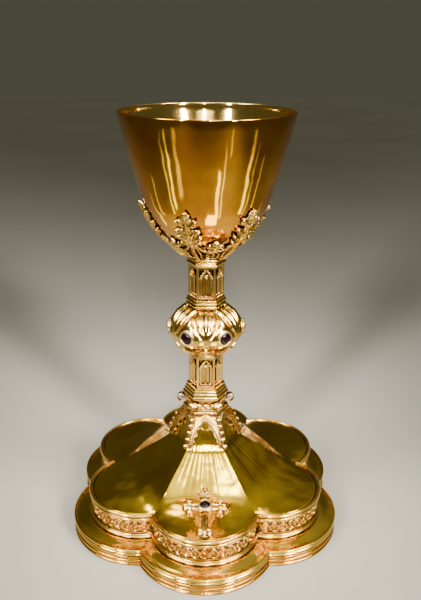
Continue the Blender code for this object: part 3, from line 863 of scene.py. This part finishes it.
# A crocket's middle line as (radius, height), and its half widths along the line
CURL = [(12.2, 67.0), (13.6, 66.9), (15.0, 67.5), (16.0, 68.8), (16.1, 70.4), (15.1, 71.7),
        (13.6, 72.0), (12.4, 71.2), (12.1, 69.9), (12.9, 68.9), (14.0, 69.1), (14.3, 70.1)]
CURL_WIDTHS = [0.55, 0.7, 1.0, 1.5, 1.7, 1.75, 1.6, 1.5, 1.3, 1.1, 0.95, 0.6]


def curled_leaf(turn, scale=1.0, root=CURL[0]):
    """A leaf that grows from its root and curls back on itself."""
    path = smooth_line((np.asarray(CURL) - CURL[0]) * scale + root, 5)
    widths = smooth_line(np.column_stack([CURL_WIDTHS, CURL_WIDTHS]), 5)[:, 0] * scale
    widths *= 1 + 0.16 * np.abs(np.sin(np.arange(len(widths)) * 0.62))
    widths[0] *= 0.7
    widths[-1] *= 0.4
    return ribbon(path, widths, 0.48 * scale, turn)


def crockets():
    """Curled leaves on the band's corners."""
    for i, turn in enumerate(CORNER_TURNS, 1):
        new_piece(f"crocket_{i}_leaf", *curled_leaf(turn), "cast_gold", [f"crocket_{i}"], sharp=60)


# The knop

KNOP_RADIUS = 19.75
KNOP_HALF_HEIGHT = 14.6
KNOP_MIDDLE = 114.0
KNOP_END = math.acos(9.74 / KNOP_RADIUS)
KNOP_WALL = 1.2
STONE_SEAT = 17.4


def knop_shell(node, name, sign, model):
    """Half of the knop; model(s, across, reach) gives relief, where s is 0 at the waist."""
    columns = 100
    start = 0.15 / KNOP_HALF_HEIGHT
    climb = np.linspace(start, KNOP_END, 110)[:, None]
    turn = HALF_SIDE * (np.arange(columns) / columns * 2 - 1)
    radius = KNOP_RADIUS * np.cos(climb)
    h = model(climb / KNOP_END, radius * np.abs(turn), radius * HALF_SIDE)
    height = KNOP_MIDDLE + sign * (KNOP_HALF_HEIGHT + h) * np.sin(climb)
    face = around(radius + h * np.cos(climb), turn, height)
    inner = []
    for angle, wall in ((KNOP_END, 0.0), (start, KNOP_WALL)):
        level = KNOP_MIDDLE + sign * (KNOP_HALF_HEIGHT - wall) * math.sin(angle)
        inner.append(around((KNOP_RADIUS - KNOP_WALL) * math.cos(angle), turn, level))
    points, faces = swept(six_times(np.concatenate([face, inner])))
    new_piece(name, points, faces[:, ::sign], "polished_gold", [node], "knop_gold", 50)


def strap_relief(s, across, reach):
    """Ribbed straps that narrow to the waist, with full lobes between them."""
    s = np.clip(s, 0, 1)
    half = 5.4 * s**0.36 * (1 + 1.1 * s * (1 - s)) + 0.2
    inside = across / half
    strap = 0.45 + 0.42 * np.cos(3 * math.pi * inside) * ease(s, 0.12, 0.4) * (inside < 0.9)
    strap -= (strap + 0.75) * ease(inside, 0.84, 1.0)
    beyond = np.clip((across - half) / np.maximum(reach - half, 0.1), 0, 1)
    lobe = -0.75 + 1.75 * round_edge(beyond, 1.0)
    lobe -= (lobe + 0.75) * 0.4 * ease(s, 0.55, 1.0)
    return np.where(inside < 1, strap, lobe) * ease(1.0 - s, -0.05, 0.06)


def lower_relief(s, across, reach):
    """Full lobes that meet in creases."""
    lobe = -0.8 + 1.7 * round_edge(across / reach, 1.0)
    return lobe * (1 - 0.5 * ease(s, 0.5, 1.0)) * ease(1.0 - s, -0.05, 0.1)


def gablet_outline(u, v):
    sides = np.maximum(np.abs(u) - (5.3 - 0.21 * np.clip(v, 0, 8)), -v)
    head = disc(np.abs(u), v, (-2.0, 6.4), 5.7)
    return np.maximum(sides, np.where(v > 6.4, head, -9.0))


def gablet_height(u, v, depth):
    """A rim, and a sunk trefoil over a sunk sill."""
    rim = round_edge(depth, 0.45) * 0.9 - 0.55 * ease(depth, 0.9, 1.2)
    foils = union(disc(u, v, (0, 7.6), 1.35), disc(np.abs(u), v, (1.75, 5.0), 1.45),
                  block(u, v, (0, 2.6), 2.4, 1.2))
    return 0.35 + rim + 0.35 * bell(foils - 0.35, 0.3) - 0.35 * ease(-foils, 0.0, 0.3)


def knop():
    """The jewelled knop: two shells, gablets, and a stone in a ring on each corner."""
    knop_shell("knop_upper_shell", "knop_upper_straps", 1, strap_relief)
    knop_shell("knop_lower_shell", "knop_lower_lobes", -1, lower_relief)
    angles = np.linspace(-KNOP_END, -0.05, 40)
    line = Line(np.column_stack([KNOP_RADIUS * np.cos(angles),
                                 KNOP_MIDDLE + KNOP_HALF_HEIGHT * np.sin(angles)]))

    def place(u, v, h):
        out, up, radius = line.raised(v, h)
        return around(out, u / np.maximum(radius, 9.0), up)

    spans = ((-5.6, 5.6), (-0.2, 12.6))
    points, faces = relief(gablet_outline, gablet_height, place, spans, 0.22, -1.0)
    for i, turn in enumerate(SIDE_TURNS, 1):
        new_piece(f"knop_{i}_gablet", turn_about_z(points, turn), faces, "cast_gold", sharp=60)
    for i, turn in enumerate(CORNER_TURNS, 1):
        outward = Vector((math.cos(turn), math.sin(turn), 0.0))
        origin = STONE_SEAT * outward + Vector((0, 0, KNOP_MIDDLE + 0.5))
        set_stone(f"knop_{i}", origin, outward, 3.3, 3.9)


def set_stone(name, origin, outward, radius, depth):
    """A polished ring with a domed stone in it."""
    ring = [(radius - 0.35, 0.0), (radius + 1.0, 0.0), (radius + 0.95, depth - 1.2)]
    ring += arc((radius + 0.85, depth - 0.45), 0.3, -30, 80, 6)
    ring += arc((radius + 0.25, depth - 0.1), 0.3, 80, 180, 6)
    ring += [(radius - 0.1, depth - 1.2), (radius - 0.35, depth - 1.4)]
    dome = [(0.02, depth - 1.6), (radius, depth - 1.6)]
    for a in np.radians(np.linspace(0, 89.5, 14)):
        dome.append((radius * math.cos(a), depth - 1.2 + 2.0 * math.sin(a)))
    for part, profile, slot, node, look in (
        ("ring", ring, "moulding_gold", "bezel", "bezel_gold"),
        ("cabochon", dome, "garnet", "stone", "garnet"),
    ):
        points, faces = turned(profile, 48)
        points = on_axis(points, origin, outward)
        new_piece(f"{name}_{part}", points, faces, slot, [f"{name}_{node}"], look)


# The apron of tracery

APRON_RIDGE = [(46.4, 21.6), (57.2, 16.4), (63.8, 13.9)]


def apron_ridge(height):
    """Circumradius of the apron at a height."""
    heights, ridges = zip(*APRON_RIDGE)
    return np.interp(height, heights, ridges)


def apron_apothem(height):
    return apron_ridge(height) * math.cos(HALF_SIDE)


def apron_arch(u, v):
    """The moulded arch that fills a panel of the apron."""
    return arched(u, v, 8.0, 40.0, 47.2)


def apron_opening(u, v):
    """The panel's opening between its hanging cusps."""
    x = np.abs(u)
    return union(
        disc(u, v, (0, 57.4), 1.9), disc(x, v, (3.0, 54.2), 2.1), disc(x, v, (4.5, 50.6), 2.1),
        block(u, v, (0, 50.0), 3.4, 5.6), block(u, v, (0, 46.0), 7.5, 3.2),
    )


def apron_height(u, v, depth):
    """Three mouldings follow the arch, with leaves in the spandrels and a rib on each corner."""
    away = apron_arch(u, v)
    rise = -0.45 * ease(-away, 0.0, 0.3) + 0.25 * round_edge(apron_opening(u, v), 0.5)
    for at in (0.35, 1.25, 2.15):
        rise = np.maximum(rise, 0.45 * bell(away - at, 0.26))
    side = apron_apothem(v) * math.tan(HALF_SIDE) - np.abs(u)
    spandrel = ease(away, 2.5, 2.8) * ease(side, 0.9, 1.2)
    leaf = 0.7 * bell(side - 2.3, 0.8) * np.abs(np.sin(v * 1.6))
    ridge = 0.45 * round_edge(0.9 - side, 0.6)
    return np.maximum(rise + (leaf - 0.45) * spandrel, ridge) - 0.35


def apron():
    """Six open arches over the foot's neck, and buds down their corners."""
    low, high = z_span("tracery_apron")

    def outline(u, v):
        side = (np.abs(u) - apron_apothem(v) * math.tan(HALF_SIDE)) * 0.95
        body = np.maximum(side, np.maximum(low - v, v - high))
        return np.maximum(body, -np.maximum(apron_opening(u, v), apron_arch(u, v)))

    def place(u, v, h):
        return hexagon_point(apron_apothem(v), u, v, h)

    panel, faces = relief(outline, apron_height, place, ((-11.2, 11.2), (low, high)), 0.22, -0.95)
    panels = [(turn_about_z(panel, turn), faces) for turn in SIDE_TURNS]
    new_piece("apron_panels", *joined(panels), "cast_gold", ["tracery_apron"], "openwork_gold", 60)
    buds = []
    for turn in CORNER_TURNS:
        for start, scale in ((61.4, 0.42), (57.9, 0.48), (54.4, 0.5), (50.9, 0.52), (47.2, 0.6)):
            buds.append(curled_leaf(turn, scale, (apron_ridge(start) - 0.3, start - 0.9)))
    new_piece("apron_buds", *joined(buds), "cast_gold", sharp=60)


# The cross on the foot

FOOT_MIDDLE = Line(FOOT_LINE[:, 1:])

# Each arm of the cross: where its end lies, which way it points, and its three foils
CROSS_ARMS = [
    ((x, y), (out_x, out_y), [
        (x + out_x * along + out_y * aside, y + out_y * along + out_x * aside)
        for along, aside in ((1.0, 0.0), (-1.1, 2.4), (-1.1, -2.4))
    ])
    for x, y, out_x, out_y in ((0, 9.4, 0, 1), (0, -19.2, 0, -1), (9.4, 0, 1, 0), (-9.4, 0, -1, 0))
]


def cross_outline(u, v):
    shape = union(block(u, v, (0, -4.9), 1.9, 13.5), block(u, v, (0, 0), 8.6, 1.9))
    for _, _, foils in CROSS_ARMS:
        for foil in foils:
            shape = smooth_union(shape, disc(u, v, foil, 1.95), 0.35)
    return smooth_union(shape, disc(u, v, (0, 0), 3.4), 0.8)


def cross_height(u, v, depth):
    """A raised border, a rib down the upright, and a boss in a dimple on each foil."""
    rise = 1.0 + 0.35 * round_edge(depth, 0.5) + 0.3 * bell(depth - 0.45, 0.22)
    rise += 0.35 * bell(u, 0.45) * ease(np.abs(v), 3.4, 4.0)
    for (x, y), (out_x, out_y), foils in CROSS_ARMS:
        for foil in foils:
            away = disc(u, v, foil, 0.0)
            rise += 0.55 * bell(away, 0.62) - 0.35 * bell(away - 1.05, 0.3)
        rise += 0.5 * bell(disc(u, v, (x - 0.6 * out_x, y - 0.6 * out_y), 0.0), math.sqrt(0.5))
    return rise


def cross():
    """A cross with clover ends lies on the front lobe, with a stone at its middle."""
    low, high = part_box("cross_bezel")
    centre_out = -(low.y + high.y) / 2 / MM
    centre = np.interp(-centre_out, -FOOT_MIDDLE.points[:, 0], FOOT_MIDDLE.walked)

    def place(u, v, h):
        (out, _), (slope_out, slope_up) = FOOT_MIDDLE.at(centre + v)
        lift = h + 0.3
        spot = [out + lift * slope_up, u, foot_height(u, out) - lift * slope_out]
        return turn_about_z(np.stack(spot, -1), FRONT)

    spans = ((-12.8, 12.8), (-22.8, 12.8))
    plate = relief(cross_outline, cross_height, place, spans, 0.2, 0.0)
    new_piece("cross_cast", *plate, "cast_gold", ["foot_cross"], sharp=60)
    (out, up), (slope_out, slope_up) = FOOT_MIDDLE.at(centre)
    outward = Vector((0, -slope_up, -slope_out))
    set_stone("cross", Vector((0, -out, up)) + 0.9 * outward, outward, 2.7, 2.6)


# The calyx under the cup

CALYX_FOOT = [(10.6, 156.9), (12.6, 158.0), (14.9, 159.8)]
CALYX_LINE = Line(smooth_line(
    CALYX_FOOT + offset_line(CUP_SIDE, 0.95)[3:8].tolist() + [(36.2, 193.2)], 8
))
CALYX_TURN = FRONT - math.radians(18)


def on_calyx(turn, girth=None, bend=0.0):
    """Lay a pattern on the calyx; girth fixes the radius that widths are measured at."""
    def place(u, v, h):
        h = h + bend * ease(v, 31.0, 39.5)
        out, up, radius = CALYX_LINE.raised(np.clip(v, 0, CALYX_LINE.length), h)
        return around(out, turn + u / (radius if girth is None else girth), up)
    return place


# Each lobe of a tall leaf runs from its root to its tip, with a width.
LEAF_LOBES = [((0, 30.0), (0, 39.2), 5.2)]
for out, root, tip, width in (
    (5.6, 29.5, 34.2, 4.6), (6.5, 24.0, 28.4, 4.2), (6.7, 20.0, 24.0, 4.0), (5.6, 16.5, 19.6, 3.6),
):
    LEAF_LOBES += [((0, root), (x * out, tip), width) for x in (-1, 1)]


def crinkle(u, v):
    """Small waves that roughen a leaf's edge and face."""
    return np.sin(3.1 * u + 0.7 * v) * np.sin(2.7 * v - 0.9 * u)


def big_leaf_outline(u, v):
    leaf = union(bar(u, v, (0, 14.5), (0, 33.0), 1.7), *[petal(u, v, *lobe) for lobe in LEAF_LOBES])
    stalk = bar(u, v, (0, 0.4), (0, 15.5), 0.75)
    side_stalks = chain(np.abs(u), v, [(1.3, 0.4), (2.1, 7.0), (1.0, 15.5)], 0.5)
    return union(leaf + 0.2 * crinkle(u, v), stalk, side_stalks)


def big_leaf_height(u, v, depth):
    """Veins with swollen tips, a deeper midrib with a groove on each side, and a crinkled face."""
    swell = 0.0
    for start, end, width in LEAF_LOBES:
        tip = (end[0] * 0.86, start[1] + (end[1] - start[1]) * 0.86)
        vein = 0.95 * bell(bar(u, v, start, end, 0.0), 0.85)
        swell = np.maximum(swell, vein + 0.35 * bell(disc(u, v, tip, 0.0), 0.9))
    groove = 0.6 * bell(np.abs(u) - 1.25, 0.4) * ease(v, 14.0, 17.0)
    midrib = 1.35 * bell(u, 0.6) * ease(v, 36.0, 33.0)
    texture = 0.22 * crinkle(u * 1.3, v * 1.2) * ease(depth, 0.2, 0.8)
    return 0.05 + 0.45 * round_edge(depth, 0.6) + np.maximum(swell - groove, midrib) + texture


# The swag that ties the small leaf to the tall one, and the ogee that frames the leaf's stalk.
SWAG_POINTS = [(0.0, 10.4), (2.8, 10.0), (5.2, 11.0), (7.0, 13.4), (8.0, 16.4)]
OGEE_POINTS = [(0.0, 9.6), (2.4, 8.4), (3.7, 6.2), (3.4, 3.6), (5.0, 1.6), (7.6, 0.6)]


def small_leaf_outline(u, v):
    x = np.abs(u)
    trefoil = union(
        disc(u, v, (0, 17.2), 1.7), disc(x, v, (2.2, 14.9), 1.5), disc(u, v, (0, 13.2), 1.8)
    )
    swags = union(
        bar(u, v, (0, 0.4), (0, 12.0), 0.55), chain(x, v, SWAG_POINTS, 0.7),
        chain(x, v, OGEE_POINTS, 0.5),
    )
    return union(trefoil + 0.2 * crinkle(u, v), swags + 0.12 * crinkle(1.3 * u, 1.3 * v))


def small_leaf_height(u, v, depth):
    heart = 0.0
    for centre in ((0, 17.3), (-2.2, 15.0), (2.2, 15.0), (0, 13.0)):
        heart = np.maximum(heart, 0.9 * bell(disc(u, v, centre, 0.0), 0.9))
    return 0.15 + 0.6 * round_edge(depth, 0.6) + heart + 0.2 * crinkle(1.4 * u, 1.5 * v)


def leaves_round(first, outline, height, spans, step, back, **lay):
    """Six leaves of one kind round the calyx, as one mesh."""
    turns = [first + side * 2 * HALF_SIDE for side in range(SIDES)]
    return joined([
        relief(outline, height, on_calyx(turn, **lay), spans, step, back) for turn in turns
    ])


def calyx():
    """Six tall leaves and six small ones, tied by swags, over a thin cup."""
    leaves = leaves_round(CALYX_TURN, big_leaf_outline, big_leaf_height,
                          ((-7.6, 7.6), (0.0, 39.6)), 0.27, -0.55, bend=0.25)
    new_piece("calyx_leaves", *leaves, "cast_gold", ["calyx"], "openwork_gold", 70)
    sprigs = leaves_round(CALYX_TURN + HALF_SIDE, small_leaf_outline, small_leaf_height,
                          ((-9.0, 9.0), (0.0, 19.8)), 0.25, -0.5, girth=17.5)
    new_piece("calyx_sprigs", *sprigs, "cast_gold", (), "openwork_gold", 70)
    ring = [(4.2, 157.9), (4.2, 156.5), (10.4, 156.5)] + arc((10.9, 157.2), 0.6, -90, 60, 6)
    ring += [(11.4, 158.2), (14.0, 159.4), (14.0, 159.7), (10.4, 158.1)]
    new_piece("calyx_cup", *turned(ring, 96), "cast_gold")


# Stage


def stage():
    """A plain pale floor."""
    bpy.ops.mesh.primitive_plane_add(size=6.0)
    floor = bpy.context.object
    floor.name = "floor"
    material, inputs, add, link = new_material("floor")
    tone = ramp(add, noise(add, 3.0), 0.3, 0.7, (0.28, 0.275, 0.26), (0.32, 0.315, 0.30))
    link(tone, inputs["Base Color"])
    inputs["Roughness"].default_value = 0.7
    floor.data.materials.append(material)


def softbox(name, place, aim, size, power, spread, colour):
    """A rectangular light that faces a point; spread, in degrees, is how far its grid opens."""
    data = bpy.data.lights.new(name, "AREA")
    data.shape = "RECTANGLE"
    data.size, data.size_y = size
    data.energy = power
    data.color = colour
    data.spread = math.radians(spread)
    light = bpy.data.objects.new(name, data)
    light.location = place
    light.rotation_euler = (Vector(aim) - Vector(place)).to_track_quat("-Z", "Y").to_euler()
    light.visible_camera = False
    bpy.context.scene.collection.objects.link(light)
    return light


def floor_strip(degrees, near, far, width, power):
    """A strip light that lies face up on the floor and points at the axis, to streak the cup."""
    turn = FRONT + math.radians(degrees)
    middle = (near + far) / 2
    place = (middle * math.cos(turn), middle * math.sin(turn), 0.004)
    light = softbox(f"floor_strip_{degrees}", place, (place[0], place[1], 1.0),
                    (far - near, width), power, 125, YELLOW)
    light.rotation_euler = (math.pi, 0.0, turn)


# Colours of the lights, and points that they face
WARM = (1.0, 0.92, 0.78)
AMBER = (0.95, 1.0, 0.45)
YELLOW = (0.85, 1.0, 0.40)
MIDDLE = (0.0, 0.0, 0.10)
FOOT = (0.0, -0.03, 0.0)
# Name, place, aim, size, power in watts, spread and colour
SOFTBOXES = (
    ("key", (0.01, -0.21, 0.50), FOOT, (0.38, 0.26), 0.045, 50, AMBER),
    ("key_core", (0.06, -0.19, 0.49), FOOT, (0.06, 0.10), 0.028, 50, AMBER),
    ("top", (0.0, -0.01, 0.52), (0.0, -0.01, 0.0), (0.36, 0.12), 0.016, 50, AMBER),
    ("fill", (0.05, -0.75, 0.55), MIDDLE, (0.9, 0.35), 0.33, 32, WARM),
    ("side_1", (-0.42, -0.20, 0.60), MIDDLE, (0.22, 0.26), 0.25, 30, WARM),
    ("side_2", (0.42, -0.20, 0.60), MIDDLE, (0.22, 0.26), 0.32, 30, WARM),
    ("strip_1", (-0.42, -0.70, 0.50), MIDDLE, (0.07, 0.45), 0.85, 32, WARM),
    ("strip_2", (0.06, -0.80, 0.55), MIDDLE, (0.02, 0.40), 0.40, 32, WARM),
    ("strip_3", (0.45, -0.65, 0.50), MIDDLE, (0.09, 0.45), 1.15, 32, WARM),
    ("back", (-0.05, 0.30, 0.70), MIDDLE, (0.30, 0.12), 0.12, 50, WARM),
)
# Degrees round from the front, nearest and farthest distance from the axis, width, and power
FLOOR_STRIPS = (
    (-112, 0.18, 0.40, 0.030, 0.05), (-96, 0.20, 0.36, 0.006, 0.02),
    (-66, 0.20, 0.50, 0.008, 0.04), (-58, 0.22, 0.50, 0.014, 0.09),
    (-44, 0.24, 0.50, 0.030, 0.06), (11, 0.10, 0.17, 0.050, 0.08),
    (19, 0.12, 0.27, 0.018, 0.06), (27, 0.14, 0.34, 0.006, 0.02),
    (34, 0.32, 0.50, 0.006, 0.02), (67, 0.20, 0.50, 0.022, 0.12),
    (76, 0.20, 0.45, 0.005, 0.02), (90, 0.20, 0.45, 0.008, 0.03),
    (118, 0.18, 0.40, 0.03, 0.04),
)


def lights():
    """Soft studio light: a gridded key overhead, front strips, and cards that streak the cup."""
    for row in SOFTBOXES:
        softbox(*row)
    for row in FLOOR_STRIPS:
        floor_strip(*row)


def surroundings():
    """A plain dim surrounding that is lighter overhead, and a little more so to the right."""
    world = bpy.data.worlds.new("studio")
    world.use_nodes = True
    add, link = node_tools(world.node_tree)
    backdrop = world.node_tree.nodes["Background"].inputs
    backdrop["Color"].default_value = (0.38, 0.37, 0.26, 1.0)
    direction = add("ShaderNodeTexCoord").outputs["Generated"]
    upward = vector_step(add, "DOT_PRODUCT", direction, (0.24, 0.0, 1.0), "Value")
    link(span(add, upward, 0.20, 1.2, 0.56, 0.98), backdrop["Strength"])
    bpy.context.scene.world = world


def camera():
    """The camera in front of the chalice, a little above its rim."""
    ahead = Vector((
        -math.sin(CAMERA_YAW) * math.cos(CAMERA_PITCH),
        math.cos(CAMERA_YAW) * math.cos(CAMERA_PITCH),
        -math.sin(CAMERA_PITCH),
    ))
    right = ahead.cross(Vector((0, 0, 1))).normalized()
    up = right.cross(ahead)
    c, s = math.cos(CAMERA_ROLL), math.sin(CAMERA_ROLL)
    right, up = c * right + s * up, c * up - s * right
    data = bpy.data.cameras.new("camera")
    data.sensor_width = SENSOR
    data.lens = CAMERA_LENS
    data.clip_start = 0.01
    view = bpy.data.objects.new("camera", data)
    place = Matrix((right, up, -ahead)).transposed().to_4x4()
    place.translation = Vector((0, -CAMERA_BACK * MM, CAMERA_HEIGHT * MM))
    view.matrix_world = place
    bpy.context.scene.collection.objects.link(view)
    bpy.context.scene.camera = view


def carried_over():
    """Give every CAD node that still shows its better material."""
    slots = {row["node"]: row["material_slot"] for row in frame["record"]["subparts"]}
    for node, thing in frame["nodes"].items():
        thing.data.materials.clear()
        thing.data.materials.append(MATERIALS[slots[node]])


camera()
stage()
lights()
surroundings()
carried_over()
foot_shell()
gallery()
lattice_band()
foot_ledge()
base_ring()
tie_rod()
fasteners()
stem_mouldings()
cup()
traceried_stem("lower_stem", "lower_stem_windows")
traceried_stem("upper_stem", "upper_stem_windows")
crocketed_band()
crockets()
knop()
apron()
cross()
calyx()
